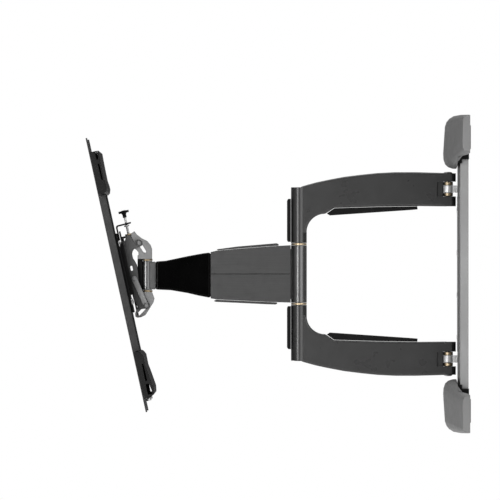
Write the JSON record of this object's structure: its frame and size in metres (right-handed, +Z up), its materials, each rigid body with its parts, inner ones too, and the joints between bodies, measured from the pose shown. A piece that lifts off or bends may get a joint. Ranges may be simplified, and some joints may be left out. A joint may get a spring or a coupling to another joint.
{
  "type": "full motion tv wall mount",
  "caption": "Articulated wall mount with upper and lower arms, hinged forearm, swivel head, tilting display frame and sliding display brackets.",
  "frame": {"origin": "centre of the wall side's back plane, halfway between its two stud rails", "axes": "+Y into the wall, -Y towards the display, +Z up, +X to one side along the wall"},
  "size_m": [0.444, 0.6292, 0.524],
  "materials": {
    "cover_plastic": "satin moulded plastic",
    "wall_steel": "powder coated sheet steel",
    "tab_aluminium": "cut and tumbled",
    "arm_paint": "satin paint on cast aluminium",
    "core_paint": "silver grey satin paint on cast aluminium",
    "bronze": "plain bearing bronze",
    "black_plastic": "black moulded plastic",
    "gloss_black": "polished black plastic",
    "shell_paint": "satin grey moulded plastic",
    "yoke_paint": "satin paint on steel",
    "tilt_steel": "satin paint on steel",
    "frame_steel": "powder coated sheet steel",
    "bracket_steel": "powder coated sheet steel",
    "fastener_steel": "bright zinc plate"
  },
  "bodies": {
    "wall_side": {"wall_plate": "wall_steel", "upper_stud_rail": "wall_steel", "lower_stud_rail": "wall_steel", "upper_left_rail_bolt": "fastener_steel", "upper_right_rail_bolt": "fastener_steel", "lower_left_rail_bolt": "fastener_steel", "lower_right_rail_bolt": "fastener_steel", "top_cover": "cover_plastic", "bottom_cover": "cover_plastic", "hinge_plate": "wall_steel", "upper_hinge_tab": "tab_aluminium", "lower_hinge_tab": "tab_aluminium"},
    "arms": {"upper_arm": "arm_paint", "lower_arm": "arm_paint", "upper_wall_pin": "fastener_steel", "lower_wall_pin": "fastener_steel", "upper_outer_wall_bush": "bronze", "upper_inner_wall_bush": "bronze", "lower_outer_wall_bush": "bronze", "lower_inner_wall_bush": "bronze", "upper_arm_cable_cover": "black_plastic", "lower_arm_cable_cover": "black_plastic", "upper_elbow_cable_cover": "black_plastic", "lower_elbow_cable_cover": "black_plastic", "elbow_pin": "fastener_steel", "elbow_nut": "fastener_steel"},
    "forearm": {"forearm": "core_paint", "nose_sleeve": "gloss_black", "upper_forearm_shell": "shell_paint", "lower_forearm_shell": "shell_paint", "upper_forearm_cable_cover": "shell_paint", "lower_forearm_cable_cover": "shell_paint", "upper_elbow_bush": "bronze", "lower_elbow_bush": "bronze"},
    "head": {"head_yoke": "yoke_paint", "head_pin": "fastener_steel", "head_nut": "fastener_steel", "upper_head_bush": "bronze", "lower_head_bush": "bronze"},
    "tilt": {"tilt_bracket": "tilt_steel", "left_upper_tilt_stud": "yoke_paint", "right_upper_tilt_stud": "yoke_paint", "left_lower_tilt_stud": "yoke_paint", "right_lower_tilt_stud": "yoke_paint", "left_tilt_brace": "yoke_paint", "right_tilt_brace": "yoke_paint", "lift_shelf": "tilt_steel", "lift_nut": "bronze"},
    "display_frame": {"adapter_plate": "frame_steel", "adjuster_tab": "frame_steel", "left_frame_post": "frame_steel", "right_frame_post": "frame_steel", "upper_rail": "frame_steel", "lower_rail": "frame_steel"},
    "lift_screw": {"lift_screw": "fastener_steel", "lift_knob": "black_plastic"},
    "left_bracket": {"left_display_bracket": "bracket_steel", "left_lock_screw": "fastener_steel"},
    "right_bracket": {"right_display_bracket": "bracket_steel", "right_lock_screw": "fastener_steel"}
  },
  "joints": [
    {"name": "wall_swivel", "type": "hinge", "parent": "wall_side", "child": "arms", "pos_m": [0, -0.033, 0], "axis": [0, 0, 1], "range_deg": [-80, 80]},
    {"name": "elbow_swivel", "type": "hinge", "parent": "arms", "child": "forearm", "pos_m": [0, -0.279, 0], "axis": [0, 0, -1], "range_deg": [-100, 100]},
    {"name": "head_swivel", "type": "hinge", "parent": "forearm", "child": "head", "pos_m": [0, -0.531, 0], "axis": [0, 0, 1], "range_deg": [-60, 60]},
    {"name": "tilt", "type": "hinge", "parent": "head", "child": "tilt", "pos_m": [0, -0.6032, 0], "axis": [1, 0, 0], "range_deg": [-12.4, 2.6]},
    {"name": "height_slide", "type": "slide", "parent": "tilt", "child": "display_frame", "axis": [0, -0.2147, 0.9767], "range_m": [-0.006, 0.008]},
    {"name": "screw_turn", "type": "hinge", "parent": "display_frame", "child": "lift_screw", "pos_m": [0, -0.56344, 0.08041], "axis": [0, -0.2147, 0.9767], "range_deg": [-1090, 1450]},
    {"name": "left_bracket_slide", "type": "slide", "parent": "display_frame", "child": "left_bracket", "axis": [-1, 0, 0], "range_m": [-0.006, 0.09]},
    {"name": "right_bracket_slide", "type": "slide", "parent": "display_frame", "child": "right_bracket", "axis": [1, 0, 0], "range_m": [-0.006, 0.09]}
  ],
  "couplings": [
    {"joint": "screw_turn", "follows": "height_slide", "rad_per_m": 3141.6}
  ]
}
